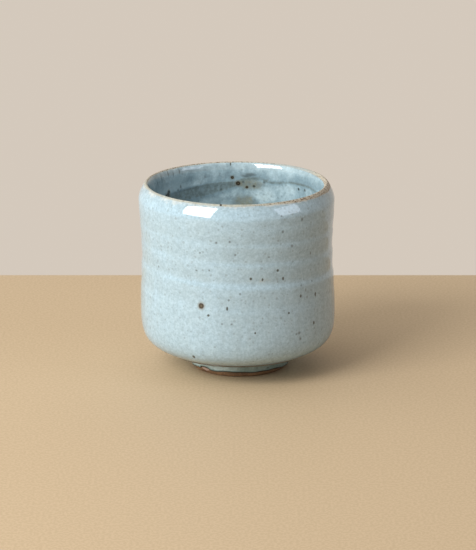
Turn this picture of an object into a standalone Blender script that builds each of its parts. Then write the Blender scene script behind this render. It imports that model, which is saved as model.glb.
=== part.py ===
"""Hand-thrown stoneware tea bowl with a pale blue-grey glaze.

A thrown clay body stands on a foot ring. Three coats of glaze cover them: one on the outer wall,
one lining the inside, and one on the underside and the upper part of the foot. The lip and the base
of the foot are bare clay. Metres, +Z up, with the origin on the table at the centre of the foot.
"""

import math

import bpy
from mathutils import Vector
from mathutils.geometry import interpolate_bezier

# Foot ring, measured up from the table
FOOT_HEIGHT = 0.0072
FOOT_RADIUS = 0.0220
FOOT_WIDTH = 0.0052
FOOT_TAPER = 0.0006
FOOT_BEVEL = 0.0006

# Outer wall: radii of the finished surface, and heights above the top of the foot
BODY_HEIGHT = 0.0776
ARRIS_RADIUS = 0.0330
ARRIS_RISE = 0.0014
ARRIS_SLOPE = math.radians(20.5)
BELLY_RADIUS = 0.0440
BELLY_RISE = 0.0196
WAIST_RADIUS = 0.0430
WAIST_RISE = 0.0503
SHOULDER_RADIUS = 0.0438
SHOULDER_DROP = 0.0073
RIM_RADIUS = 0.0403

# How full each rounded corner is: 0 is a straight cut, 1 a square corner
HEEL_FULLNESS_OUT = 0.87
HEEL_FULLNESS_UP = 0.62
LIP_FULLNESS_UP = 0.34
ROUND_FULLNESS = 0.55
FLOOR_FULLNESS = 0.62

# Thickness of the lip, the wall and the floor, finished with glaze on both sides
LIP_ROLL = 0.0009
LIP_THICKNESS = 0.0026
LIP_DROP = 0.0018
WALL_AT_SHOULDER = 0.0040
WALL_AT_WAIST = 0.0042
WALL_AT_BELLY = 0.0052
FLOOR_THICKNESS = 0.0037
FLOOR_CORNER_RISE = 0.0150

# The hollow and the ridge that a finger left inside, below the lip
HOLLOW_DROP = 0.0054
RIDGE_DROP = 0.0088
RIDGE_DEPTH = 0.0005

# Glaze coats, the hairline between them and the clay, and the bare clay that they leave
GLAZE_THICKNESS = 0.0005
GLAZE_GAP = 0.0003
BARE_LIP_OUTSIDE = 0.0010
BARE_LIP_INSIDE = 0.0009
NECK_FILLET = 0.0010
GLAZE_LINE = 0.0021
GLAZE_LINE_WANDER = 0.0004
GLAZE_LINE_WAVES = (3, 7)

# Throwing spiral on the outer wall: it starts on the +X side, this far above the foot
SPIRAL_START = 0.0051
SPIRAL_PITCH = 0.0100
SPIRAL_DEPTH = 0.00025
SPIRAL_FADE = 0.0080

# Facets: sides of each turned piece, points along each curve of its profile, and how they join
SEGMENTS = 48
SHORT_CURVE = 4
LIP_CURVE = 6
WALL_CURVE = 9
HEEL_CURVE = 11
FLOOR_CURVE = 7
MERGE_DISTANCE = 0.00001
SHARP_ANGLE = math.radians(40)

# Colours and roughness
STONEWARE = (0.30, 0.205, 0.135)
FOOT_CLAY = (0.25, 0.165, 0.105)
PALE_GLAZE = (0.50, 0.60, 0.62)
LINER_GLAZE = (0.46, 0.57, 0.60)
POOLED_GLAZE = (0.33, 0.37, 0.33)
CLAY_ROUGHNESS = 0.75
GLAZE_ROUGHNESS = 0.15

UP = Vector((0, 0, 1))
OUT = Vector((1, 0, 0))


def at(radius, height):
    """A profile point, in the half plane on the +X side of the axis."""
    return Vector((radius, 0, height))


# Places that several pieces share
coat = GLAZE_THICKNESS + GLAZE_GAP
rim_height = FOOT_HEIGHT + BODY_HEIGHT
shoulder_height = rim_height - SHOULDER_DROP
belly_height = FOOT_HEIGHT + BELLY_RISE
underside_height = FOOT_HEIGHT + coat
floor_height = underside_height + FLOOR_THICKNESS + coat
crest = at(RIM_RADIUS, rim_height)
arris = at(ARRIS_RADIUS, FOOT_HEIGHT + ARRIS_RISE)


def joined(*curves):
    """Curves laid end to end, with each shared end kept once."""
    line = list(curves[0])
    for curve in curves[1:]:
        line += curve[1:]
    return line


def upright_curve(top, bottom, points):
    """A soft S between two places where the wall stands upright."""
    pull = UP * (top.z - bottom.z) / 3
    return interpolate_bezier(top, top - pull, bottom + pull, bottom, points)


def trimmed(line, length):
    """The line without its first stretch of the given length."""
    for index in range(len(line) - 1):
        step = (line[index + 1] - line[index]).length
        if length < step:
            return [line[index].lerp(line[index + 1], length / step)] + line[index + 1:]
        length -= step
    return line[-1:]


def lead_in(line, length):
    """The first stretch of the line, of the given length."""
    rest = trimmed(line, length)
    return line[:len(line) - len(rest) + 1] + rest[:1]


def inset(line, distance):
    """The line moved to its right-hand side, as seen when going along it."""
    moved = []
    for index, point in enumerate(line):
        before = line[max(index - 1, 0)]
        after = line[min(index + 1, len(line) - 1)]
        along = (after - before).normalized()
        moved.append(point + Vector((along.z, 0, -along.x)) * distance)
    return moved


def outer_line():
    """The finished outer surface, from the crest of the lip down to the arris above the foot."""
    shoulder = at(SHOULDER_RADIUS, shoulder_height)
    waist = at(WAIST_RADIUS, FOOT_HEIGHT + WAIST_RISE)
    belly = at(BELLY_RADIUS, belly_height)
    lip_out = crest + OUT * LIP_ROLL
    lip_up = shoulder + UP * SHOULDER_DROP * LIP_FULLNESS_UP
    lip = interpolate_bezier(crest, lip_out, lip_up, shoulder, LIP_CURVE)
    slope = Vector((1, 0, math.tan(ARRIS_SLOPE)))
    heel_out = slope * (BELLY_RADIUS - ARRIS_RADIUS) * HEEL_FULLNESS_OUT
    heel_up = UP * (belly.z - arris.z) * HEEL_FULLNESS_UP
    heel = interpolate_bezier(belly, belly - heel_up, arris + heel_out, arris, HEEL_CURVE)
    above_waist = upright_curve(shoulder, waist, WALL_CURVE)
    below_waist = upright_curve(waist, belly, WALL_CURVE)
    return joined(lip, above_waist, below_waist, heel)


def hidden_outer_line():
    """The outer surface with half the points, for the faces that the glaze hides."""
    line = outer_line()
    return line[:-1:2] + line[-1:]


def behind_wall(height, thickness):
    """The point inside the bowl that leaves the given thickness of wall at a height."""
    line = outer_line()
    for upper, lower in zip(line, line[1:]):
        if lower.z <= height:
            share = (upper.z - height) / (upper.z - lower.z)
            return upper.lerp(lower, share) - OUT * thickness


def inner_line():
    """The finished inner surface, from the crest of the lip down to the centre of the floor."""
    lip = behind_wall(rim_height - LIP_DROP, LIP_THICKNESS)
    hollow = behind_wall(rim_height - HOLLOW_DROP, WALL_AT_SHOULDER)
    ridge = behind_wall(rim_height - RIDGE_DROP, WALL_AT_SHOULDER + RIDGE_DEPTH)
    waist = behind_wall(FOOT_HEIGHT + WAIST_RISE, WALL_AT_WAIST)
    corner = behind_wall(floor_height + FLOOR_CORNER_RISE, WALL_AT_BELLY)
    centre = at(0, floor_height)
    lip_in = crest.lerp(at(lip.x, crest.z), ROUND_FULLNESS)
    lip_up = lip.lerp(at(lip.x, crest.z), ROUND_FULLNESS)
    over_lip = interpolate_bezier(crest, lip_in, lip_up, lip, SHORT_CURVE)
    to_hollow = upright_curve(lip, hollow, SHORT_CURVE)
    to_ridge = upright_curve(hollow, ridge, SHORT_CURVE)
    to_waist = upright_curve(ridge, waist, SHORT_CURVE)
    to_corner = upright_curve(waist, corner, SHORT_CURVE)
    corner_down = corner - UP * FLOOR_CORNER_RISE * FLOOR_FULLNESS
    floor_out = centre + OUT * corner.x * FLOOR_FULLNESS
    floor = interpolate_bezier(corner, corner_down, floor_out, centre, FLOOR_CURVE)
    return joined(over_lip, to_hollow, to_ridge, to_waist, to_corner, floor)


def foot_side(height):
    """Radius of the foot's clay at a height above the table."""
    return FOOT_RADIUS - FOOT_TAPER * height / FOOT_HEIGHT


def foot_line():
    """The glazed surface under the bowl, from the arris in to the foot and down to the glaze line."""
    corner = at(foot_side(FOOT_HEIGHT) + coat, FOOT_HEIGHT)
    neck_out = corner + OUT * NECK_FILLET
    neck_down = corner - UP * NECK_FILLET
    pull_out = neck_out.lerp(corner, ROUND_FULLNESS)
    pull_down = neck_down.lerp(corner, ROUND_FULLNESS)
    fillet = interpolate_bezier(neck_out, pull_out, pull_down, neck_down, SHORT_CURVE)
    clear_of_arris = GLAZE_THICKNESS * math.sin(ARRIS_SLOPE) + GLAZE_GAP
    start = arris.lerp(neck_out, clear_of_arris / (arris - neck_out).length)
    return [start] + list(fillet) + [at(foot_side(GLAZE_LINE) + coat, GLAZE_LINE)]


def new_material(name, colour, roughness):
    """A plain finish of one colour."""
    material = bpy.data.materials.new(name)
    material.use_nodes = True
    shader = material.node_tree.nodes["Principled BSDF"]
    shader.inputs["Base Color"].default_value = (*colour, 1)
    shader.inputs["Roughness"].default_value = roughness
    shader.inputs["Metallic"].default_value = 0
    return material


def turned(name, profile, colour, roughness):
    """A solid turned about the Z axis from a closed profile that runs down its outer side."""
    count = len(profile)
    edges = [(index, (index + 1) % count) for index in range(count)]
    off_axis = [(a, b) for a, b in edges if profile[a].x > 0 or profile[b].x > 0]
    outline = bpy.data.meshes.new(name + "_profile")
    outline.from_pydata(profile, off_axis, [])
    piece = bpy.data.objects.new(name, outline)
    parts.objects.link(piece)
    screw = piece.modifiers.new("Turn", "SCREW")
    screw.steps = SEGMENTS
    screw.render_steps = SEGMENTS
    screw.use_merge_vertices = True
    screw.merge_threshold = MERGE_DISTANCE
    graph = bpy.context.evaluated_depsgraph_get()
    piece.data = bpy.data.meshes.new_from_object(piece.evaluated_get(graph))
    piece.data.name = name
    piece.modifiers.clear()
    bpy.data.meshes.remove(outline)
    piece.data.shade_smooth()
    piece.data.set_sharp_from_angle(angle=SHARP_ANGLE)
    piece.data.materials.append(new_material(name, colour, roughness))
    piece.parent = bowl
    return piece


def clay_body():
    """The thrown wall and floor: bare along the lip, and set back elsewhere to take the glaze."""
    bare_outside = lead_in(outer_line(), BARE_LIP_OUTSIDE)
    bare_inside = lead_in(inner_line(), BARE_LIP_INSIDE)
    glazed_outside = inset(trimmed(hidden_outer_line(), BARE_LIP_OUTSIDE), coat)
    glazed_inside = inset(trimmed(inner_line(), BARE_LIP_INSIDE), -coat)
    underside = [at(foot_side(FOOT_HEIGHT), underside_height), at(0, underside_height)]
    down_outside = bare_outside + glazed_outside + underside
    down_inside = bare_inside[1:] + glazed_inside
    turned("clay_body", down_outside + down_inside[::-1], STONEWARE, CLAY_ROUGHNESS)


def foot_ring():
    """The low ring under the body, bevelled where it meets the table."""
    top = underside_height - GLAZE_GAP
    inner_base = FOOT_RADIUS - FOOT_WIDTH
    profile = [
        at(inner_base - FOOT_TAPER, top),
        at(foot_side(top), top),
        at(foot_side(FOOT_BEVEL), FOOT_BEVEL),
        at(FOOT_RADIUS - FOOT_BEVEL, 0),
        at(inner_base + FOOT_BEVEL, 0),
        at(inner_base, FOOT_BEVEL),
    ]
    turned("foot_ring", profile, FOOT_CLAY, CLAY_ROUGHNESS)


def outer_glaze():
    """The coat on the outer wall, with the throwing spiral in its surface."""
    start = BARE_LIP_OUTSIDE + GLAZE_GAP
    face = trimmed(outer_line(), start)
    back = inset(trimmed(hidden_outer_line(), start), GLAZE_THICKNESS)
    piece = turned("outer_glaze", face + back[::-1], PALE_GLAZE, GLAZE_ROUGHNESS)
    press_spiral(piece.data)


def press_spiral(mesh):
    """The groove of the potter's finger, which falls by one pitch in each turn to the right."""
    for vertex in mesh.vertices:
        outwards = Vector((vertex.co.x, vertex.co.y, 0)).normalized()
        if vertex.normal.dot(outwards) < 0:
            continue
        height = vertex.co.z - FOOT_HEIGHT - SPIRAL_START
        turns = math.atan2(vertex.co.y, vertex.co.x) / math.tau + height / SPIRAL_PITCH
        below_shoulder = (shoulder_height - vertex.co.z) / SPIRAL_FADE
        above_belly = (vertex.co.z - belly_height) / SPIRAL_FADE
        fade = max(0, min(1, below_shoulder, above_belly))
        vertex.co -= outwards * SPIRAL_DEPTH * fade * (1 - math.cos(math.tau * turns)) / 2


def inner_glaze():
    """The coat that lines the inside."""
    face = trimmed(inner_line(), BARE_LIP_INSIDE + GLAZE_GAP)
    back = inset(face, -GLAZE_THICKNESS)
    turned("inner_glaze", back + face[::-1], LINER_GLAZE, GLAZE_ROUGHNESS)


def foot_glaze():
    """The coat under the bowl and on the foot, ending in a wandering line above the bare base."""
    face = foot_line()
    back = inset(face, GLAZE_THICKNESS)
    piece = turned("foot_glaze", face + back[::-1], POOLED_GLAZE, GLAZE_ROUGHNESS)
    half_way = (GLAZE_LINE + FOOT_HEIGHT - NECK_FILLET) / 2
    for vertex in piece.data.vertices:
        if vertex.co.z < half_way:
            angle = math.atan2(vertex.co.y, vertex.co.x)
            waves = [math.sin(count * angle) for count in GLAZE_LINE_WAVES]
            vertex.co.z += GLAZE_LINE_WANDER * sum(waves) / len(waves)


for leftover in list(bpy.data.objects):
    bpy.data.objects.remove(leftover)
parts = bpy.data.collections.new("tea_bowl")
bpy.context.scene.collection.children.link(parts)
bowl = bpy.data.objects.new("tea_bowl", None)
parts.objects.link(bowl)

clay_body()
foot_ring()
outer_glaze()
inner_glaze()
foot_glaze()
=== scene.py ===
"""Hand-thrown stoneware tea bowl with a pale blue-grey glaze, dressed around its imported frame."""

import math

import bmesh
import bpy
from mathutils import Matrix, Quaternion, Vector, noise
from mathutils.geometry import interpolate_bezier


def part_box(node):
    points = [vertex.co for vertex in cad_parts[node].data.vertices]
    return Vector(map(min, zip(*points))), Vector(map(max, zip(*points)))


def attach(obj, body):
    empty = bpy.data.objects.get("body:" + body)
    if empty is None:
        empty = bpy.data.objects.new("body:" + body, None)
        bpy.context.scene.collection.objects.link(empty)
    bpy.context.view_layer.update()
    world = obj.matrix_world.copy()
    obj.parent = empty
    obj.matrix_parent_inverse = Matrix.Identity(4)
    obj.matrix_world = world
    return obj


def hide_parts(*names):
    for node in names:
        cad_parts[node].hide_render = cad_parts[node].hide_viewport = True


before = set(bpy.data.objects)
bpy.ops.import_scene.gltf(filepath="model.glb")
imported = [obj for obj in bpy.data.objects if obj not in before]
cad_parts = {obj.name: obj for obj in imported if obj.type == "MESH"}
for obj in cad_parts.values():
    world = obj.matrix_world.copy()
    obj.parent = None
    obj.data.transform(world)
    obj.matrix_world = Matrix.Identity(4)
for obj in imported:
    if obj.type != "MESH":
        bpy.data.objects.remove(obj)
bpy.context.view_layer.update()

# Clay body
# One ball of brown stoneware, thrown on the wheel into an upright bowl and turned underneath.
# The glaze was wiped from its lip, where a film of it still pales the clay between two worn sides.
UP = Vector((0, 0, 1))
OUT = Vector((1, 0, 0))
SIDES = 256
MERGE_DISTANCE = 0.000001
SHARP_ANGLE = math.radians(40)
FRONT_DEGREES = -90
# Points on each stretch of lip, wall, and heel or floor: on the faces that show, and behind them
OUTSIDE_POINTS = (24, 36, 48)
INSIDE_POINTS = (12, 32, 48)
HIDDEN_OUTSIDE_POINTS = (12, 8, 14)
HIDDEN_INSIDE_POINTS = (8, 8, 16)

rim_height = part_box("clay_body")[1].z
underside_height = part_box("clay_body")[0].z
arris_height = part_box("outer_glaze")[0].z
belly_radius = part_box("outer_glaze")[1].x
foot_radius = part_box("foot_ring")[1].x
RIM_RADIUS = 0.0403
SHOULDER_RADIUS = 0.0438
SHOULDER_DROP = 0.0073
WAIST_RADIUS = 0.0430
WAIST_HEIGHT = 0.0575
BELLY_HEIGHT = 0.0268
ARRIS_RADIUS = 0.0330
ARRIS_SLOPE = math.radians(20.5)
LIP_ROLL = 0.0009
LIP_FULLNESS = 0.34
HEEL_FULLNESS_OUT = 0.87
HEEL_FULLNESS_UP = 0.62

INNER_LIP_RADIUS = 0.0384
INNER_LIP_DROP = 0.0050
HOLLOW_RADIUS = 0.0385
HOLLOW_DROP = 0.0068
RIDGE_RADIUS = 0.0384
RIDGE_DROP = 0.0088
BELOW_RIDGE_RADIUS = 0.0386
BELOW_RIDGE_DROP = 0.0112
INNER_WAIST_RADIUS = 0.0384
FLOOR_CORNER_RADIUS = 0.0388
FLOOR_CORNER_HEIGHT = 0.0275
FLOOR_HEIGHT = 0.0125
FLOOR_FULLNESS = 0.62
ROUND_FULLNESS = 0.55

GLAZE_THICKNESS = 0.0005
GLAZE_SEAT = 0.00003
BARE_LIP_DROP_OUTSIDE = 0.00058
BARE_LIP_DROP_INSIDE = 0.00030
LIP_WAVE = 0.00016
# Waves of the glaze edge round the lip: share, count and shift
LIP_WAVES = [(0.5, 3, 0.4), (0.3, 8, 1.9), (0.3, 19, 0)]
# How the edge strays outside and inside the lip: share of the waves, depth that was wiped, and where
WANDER_OUTSIDE = (1, 0.0012, math.radians(-8))
WANDER_INSIDE = (0.3, 0.0009, math.radians(5))
WIPED_FOCUS = 3
LIP_EDGE_FADE = 0.0026

RECESS_RADIUS = 0.0152
RECESS_RISE = 0.0008
RECESS_POINTS = 14
TURNING_PITCH = 0.0017
TURNING_DEPTH = 0.00010

LEAN = 0.0009
OVAL = 0.006
OVAL_TURN = math.radians(5)
RIM_WAVE = 0.00012
RIM_WAVE_SHIFT = 1.1
RIM_TILT = 0.00028
RIM_FOCUS = 4
WOBBLE = 0.00004
WOBBLE_SIZE = 0.015
WOBBLE_RISE = 0.25

BARE_CLAY = (0.30, 0.21, 0.14, 1)
WARM_CLAY = (0.23, 0.145, 0.09, 1)
IRON_BROWN = (0.045, 0.028, 0.016, 1)
LIP_FILM = (0.375, 0.375, 0.305, 1)
LIP_BLUE = (0.335, 0.385, 0.380, 1)
WORN_LIP = (0.48, 0.44, 0.355, 1)
LIP_BROWN = (0.16, 0.105, 0.065, 1)
LIP_SPOT = (0.03, 0.018, 0.009, 1)
CLAY_ROUGHNESS = 0.72
CLAY_DRIFT = 0.006
GRIT = 0.0006
GRIT_DARKEST = 0.82
GRIT_CONTRAST = 0.36
GRIT_DEPTH = 0.00010
# Scattered grains: spacing, greatest width and share of the places. Their shake: size and amount
IRON_GRAINS = (0.0016, 0.0010, 0.7)
IRON_SHAKE = (0.001, 0.0006)
IRON_STRENGTH = 0.8
LIP_DOTS = (0.0026, 0.0013, 0.7)
LIP_DOT_SHAKE = (0.0009, 0.0006)
LIP_DOT_STRENGTH = 0.45
GRAIN_EDGE = 6
NOISE_LOW = 0.28
NOISE_HIGH = 0.72
NOISE_MIDDLE = 0.5
FILM_DEPTH = 0.004
FILM_GLOSS = 0.32
FILM_PATCH = 0.0022
FILM_PATCH_SHARE = 0.6
FILM_GRAIN = 0.0012
FILM_DARKEST = 0.86
FILM_CONTRAST = 0.28
# Two sides where the film is worn and one where it is full, and how far out that starts and ends
WORN_SIDES = ((0.92, -0.38, 0), (-0.50, 0.87, 0))
WORN_STEP = (0.012, 0.038)
WORN_SHARE = 0.95
WORN_GRAIN = 0.0008
WORN_DETAIL = 3
WORN_SHAKE = (0.001, 0.0008)
WORN_GRAIN_STEP = (0.15, 0.6)
FULL_SIDE = (0.60, 0.80, 0)
FULL_STEP = (0.030, 0.038)
# Iron spots on the lip: degrees to the right of the front, height, width and length
LIP_SPOTS = [(-9.5, 0.0844, 0.0012, 0.0016)]
LIP_SPOT_STEP = (1.1, 0.6)
SPOT_DEPTH = 0.002
SPOT_SHAKE = (0.0012, 0.0004)


def at(radius, height):
    """A profile point, in the half plane on the +X side of the axis."""
    return Vector((radius, 0, height))


def joined(*curves):
    """Curves laid end to end, with each shared end kept once."""
    line = list(curves[0])
    for curve in curves[1:]:
        line += curve[1:]
    return line


def upright_curve(top, bottom, points):
    """A soft S between two places where the wall stands upright."""
    pull = UP * (top.z - bottom.z) / 3
    return interpolate_bezier(top, top - pull, bottom + pull, bottom, points)


def rounded(start, corner, end, points):
    """A round between two lines that would meet in a corner."""
    near_start = start.lerp(corner, ROUND_FULLNESS)
    near_end = end.lerp(corner, ROUND_FULLNESS)
    return interpolate_bezier(start, near_start, near_end, end, points)


def outer_line(lip_points, wall_points, heel_points):
    """The finished outer surface, from the crest of the lip down to the arris above the foot."""
    crest = at(RIM_RADIUS, rim_height)
    shoulder = at(SHOULDER_RADIUS, rim_height - SHOULDER_DROP)
    waist = at(WAIST_RADIUS, WAIST_HEIGHT)
    belly = at(belly_radius, BELLY_HEIGHT)
    arris = at(ARRIS_RADIUS, arris_height)
    lip_pull = shoulder + UP * SHOULDER_DROP * LIP_FULLNESS
    heel_pull = belly - UP * (belly.z - arris.z) * HEEL_FULLNESS_UP
    slope = Vector((1, 0, math.tan(ARRIS_SLOPE)))
    arris_pull = arris + slope * (belly.x - arris.x) * HEEL_FULLNESS_OUT
    return joined(
        interpolate_bezier(crest, crest + OUT * LIP_ROLL, lip_pull, shoulder, lip_points),
        upright_curve(shoulder, waist, wall_points),
        upright_curve(waist, belly, wall_points),
        interpolate_bezier(belly, heel_pull, arris_pull, arris, heel_points),
    )


def inner_line(lip_points, wall_points, floor_points):
    """The finished inner surface, from the crest of the lip down to the centre of the floor."""
    crest = at(RIM_RADIUS, rim_height)
    lip = at(INNER_LIP_RADIUS, rim_height - INNER_LIP_DROP)
    hollow = at(HOLLOW_RADIUS, rim_height - HOLLOW_DROP)
    ridge = at(RIDGE_RADIUS, rim_height - RIDGE_DROP)
    below_ridge = at(BELOW_RIDGE_RADIUS, rim_height - BELOW_RIDGE_DROP)
    waist = at(INNER_WAIST_RADIUS, WAIST_HEIGHT)
    corner = at(FLOOR_CORNER_RADIUS, FLOOR_CORNER_HEIGHT)
    centre = at(0, FLOOR_HEIGHT)
    corner_pull = corner - UP * (corner.z - centre.z) * FLOOR_FULLNESS
    floor_pull = centre + OUT * corner.x * FLOOR_FULLNESS
    return joined(
        rounded(crest, at(lip.x, crest.z), lip, lip_points),
        upright_curve(lip, hollow, lip_points),
        upright_curve(hollow, ridge, lip_points),
        upright_curve(ridge, below_ridge, lip_points),
        upright_curve(below_ridge, waist, wall_points),
        upright_curve(waist, corner, wall_points),
        interpolate_bezier(corner, corner_pull, floor_pull, centre, floor_points),
    )


def below(line, height):
    """The part of a falling line that lies under a height, starting on that height."""
    for index in range(len(line) - 1):
        high, low = line[index], line[index + 1]
        if low.z <= height:
            share = (high.z - height) / (high.z - low.z)
            return [high.lerp(low, share)] + line[index + 1:]


def above(line, height):
    """The part of a falling line that lies over a height, ending on that height."""
    rest = below(line, height)
    return line[:len(line) - len(rest) + 1] + rest[:1]


def between(start, end, share):
    """A value that lies by a share between two others."""
    return start + (end - start) * share


def radius_at(line, height):
    """Radius of a falling line at a height."""
    for high, low in zip(line, line[1:]):
        if low.z <= height:
            share = (high.z - height) / (high.z - low.z)
            return between(high.x, low.x, share)


def inset(line, distance):
    """The line moved to its right-hand side, as seen when going along it."""
    moved = []
    for index, point in enumerate(line):
        before = line[max(index - 1, 0)]
        after = line[min(index + 1, len(line) - 1)]
        along = (after - before).normalized()
        moved.append(point + Vector((along.z, 0, -along.x)) * distance)
    return moved


def turned(profile):
    """A closed shell, spun about the bowl's axis from a loop of profile points."""
    shell = bmesh.new()
    corners = [shell.verts.new(point) for point in profile]
    pairs = zip(corners, corners[1:] + corners[:1])
    edges = [shell.edges.new(pair) for pair in pairs if pair[0].co.x + pair[1].co.x > 0]
    bmesh.ops.spin(
        shell, geom=corners + edges, axis=UP, cent=(0, 0, 0), angle=math.tau, steps=SIDES, use_merge=True
    )
    bmesh.ops.remove_doubles(shell, verts=shell.verts, dist=MERGE_DISTANCE)
    bmesh.ops.recalc_face_normals(shell, faces=shell.faces)
    shell.normal_update()
    return shell


def angle_of(point):
    """The angle round the axis, from the +X side."""
    return math.atan2(point.y, point.x)


def outward(point):
    """The level direction from the axis to a point."""
    return Vector((point.x, point.y, 0)).normalized()


def turn_of(degrees):
    """The angle round the axis of a place at degrees to the right of the front."""
    return math.radians(degrees + FRONT_DEGREES)


def eased(value):
    """A share from 0 to 1 that starts and ends softly."""
    value = max(0, min(1, value))
    return value * value * (3 - 2 * value)


def edge_waves(angle, waves):
    """The rise and fall of a wavy edge round the bowl."""
    return sum(share * math.sin(count * angle + shift) for share, count, shift in waves)


def lip_wander(angle, wander):
    """How far the glaze edge strays below its line: in short waves, and more where the lip was wiped."""
    wave_share, wiped_drop, wiped_turn = wander
    wiped = max(0, math.cos(angle - wiped_turn)) ** WIPED_FOCUS
    return LIP_WAVE * wave_share * edge_waves(angle, LIP_WAVES) + wiped_drop * wiped


def stray(point, line, edge_height, wander):
    """Slides a point near a glaze edge along its surface, so that the edge wanders round the lip."""
    if point.z > edge_height:
        nearness = (rim_height - point.z) / (rim_height - edge_height)
    else:
        nearness = 1 - (edge_height - point.z) / LIP_EDGE_FADE
    if nearness <= 0:
        return
    lower = point.z - lip_wander(angle_of(point), wander) * eased(nearness)
    stretch = radius_at(line, lower) - radius_at(line, point.z)
    point += outward(point) * stretch
    point.z = lower


def settle_by_hand(shell):
    """Leans the bowl a little to the left, as it came off the wheel, and leaves it slightly uneven."""
    for vertex in shell.verts:
        rise = max(0, (vertex.co.z - arris_height) / (rim_height - arris_height))
        angle = angle_of(vertex.co)
        oval = 1 + OVAL * rise * math.cos(2 * (angle - OVAL_TURN))
        wave = RIM_WAVE * math.sin(2 * angle + RIM_WAVE_SHIFT) + RIM_TILT * math.sin(angle)
        wobble = WOBBLE * min(1, rise / WOBBLE_RISE) * noise.noise(vertex.co / WOBBLE_SIZE)
        moved = outward(vertex.co) * wobble
        vertex.co.x = vertex.co.x * oval - LEAN * rise
        vertex.co.y *= oval
        vertex.co.z += wave * rise ** RIM_FOCUS
        vertex.co += moved


def fired(name, shell, material):
    """Makes a finished shell an object with its material."""
    mesh = bpy.data.meshes.new(name)
    shell.to_mesh(mesh)
    shell.free()
    mesh.shade_smooth()
    mesh.set_sharp_from_angle(angle=SHARP_ANGLE)
    mesh.materials.append(material)
    piece = bpy.data.objects.new(name, mesh)
    bpy.context.scene.collection.objects.link(piece)
    return piece


class Wire:
    """A value in a material's nodes. Arithmetic on it adds Math nodes."""

    def __init__(self, tree, socket):
        self.tree = tree
        self.socket = socket

    def node(self, kind, settings, inputs, output=0):
        """Adds any other node: its settings first, then the values or links of its sockets."""
        made = self.tree.nodes.new(kind)
        for name, setting in settings.items():
            setattr(made, name, setting)
        for name, value in inputs.items():
            if isinstance(value, Wire):
                self.tree.links.new(value.socket, made.inputs[name])
            else:
                made.inputs[name].default_value = value
        return Wire(self.tree, made.outputs[output])

    def maths(self, operation, first, second):
        return self.node("ShaderNodeMath", {"operation": operation}, {0: first, 1: second})

    def __add__(self, other):
        return self.maths("ADD", self, other)

    __radd__ = __add__

    def __sub__(self, other):
        return self.maths("SUBTRACT", self, other)

    def __rsub__(self, other):
        return self.maths("SUBTRACT", other, self)

    def __mul__(self, other):
        return self.maths("MULTIPLY", self, other)

    __rmul__ = __mul__

    def least(self, other):
        return self.maths("MINIMUM", self, other)

    def most(self, other):
        return self.maths("MAXIMUM", self, other)

    def eased(self, low, high):
        """A soft step from 0 at the low value to 1 at the high one."""
        limits = {"Value": self, "From Min": low, "From Max": high}
        return self.node("ShaderNodeMapRange", {"interpolation_type": "SMOOTHSTEP"}, limits)

    def mix(self, first, second):
        """A colour between two, by this share."""
        return self.node("ShaderNodeMix", {"data_type": "RGBA"}, {0: self, 6: first, 7: second}, 2)

    def lit(self, scale):
        """This colour, made lighter or darker."""
        settings = {"operation": "SCALE"}
        return self.node("ShaderNodeVectorMath", settings, {"Vector": self, "Scale": scale})

    def beside(self, output):
        """Another output of the node that this value comes from."""
        return Wire(self.tree, self.socket.node.outputs[output])

    def along(self, axis):
        """One part of these coordinates: X, Y or Z."""
        return self.node("ShaderNodeSeparateXYZ", {}, {0: self}, axis)

    def towards(self, direction):
        """How far these coordinates lie in a direction from the axis."""
        sides = {0: self, 1: direction}
        return self.node("ShaderNodeVectorMath", {"operation": "DOT_PRODUCT"}, sides, "Value")

    def length(self):
        """The length of this vector."""
        return self.node("ShaderNodeVectorMath", {"operation": "LENGTH"}, {0: self}, "Value")

    def stretched(self, scales):
        """These coordinates, scaled by an amount for each axis."""
        return self.node("ShaderNodeVectorMath", {"operation": "MULTIPLY"}, {0: self, 1: scales})

    def speckle(self, size, detail=2):
        """Soft noise of about a given size in metres, spread from 0 to 1, at these coordinates."""
        sizes = {"Vector": self, "Scale": 1 / size, "Detail": detail}
        return self.node("ShaderNodeTexNoise", {}, sizes, "Fac").eased(NOISE_LOW, NOISE_HIGH)

    def centred(self):
        """This noise, spread to both sides of nothing."""
        return self - NOISE_MIDDLE

    def grains(self, spacing, width, share):
        """Scattered round grains of up to a width, in a share of the cells: 1 in a grain, 0 between."""
        cells = {"Vector": self, "Scale": 1 / spacing}
        away = self.node("ShaderNodeTexVoronoi", {}, cells, "Distance")
        chance = away.beside("Color").along("X")
        reach = (chance - (1 - share)) * (width / 2 / spacing / share)
        return (reach - away).eased(0, width / GRAIN_EDGE / spacing)

    def shaken(self, size, amount):
        """These coordinates, jostled so that round things come out ragged."""
        waves = self.node("ShaderNodeTexNoise", {}, {"Vector": self, "Scale": 1 / size}, "Color")
        sides = {0: waves, 1: (NOISE_MIDDLE, NOISE_MIDDLE, NOISE_MIDDLE)}
        moved = self.node("ShaderNodeVectorMath", {"operation": "SUBTRACT"}, sides).lit(amount)
        return self.node("ShaderNodeVectorMath", {"operation": "ADD"}, {0: self, 1: moved})


def new_finish(name, roughness):
    """A material with its shader, and the object coordinates that its patterns read."""
    material = bpy.data.materials.new(name)
    material.use_nodes = True
    tree = material.node_tree
    shader = tree.nodes["Principled BSDF"]
    shader.inputs["Roughness"].default_value = roughness
    coordinates = tree.nodes.new("ShaderNodeTexCoord")
    return material, shader, Wire(tree, coordinates.outputs["Object"])


def feed(shader, socket, wire):
    """Links a wire to one of the shader's sockets."""
    wire.tree.links.new(wire.socket, shader.inputs[socket])


def roughen(shader, height, depth):
    """A fine relief of the given depth in metres, from a height between 0 and 1."""
    relief = {"Strength": 1, "Distance": depth, "Height": height}
    feed(shader, "Normal", height.node("ShaderNodeBump", {}, relief, "Normal"))


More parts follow.
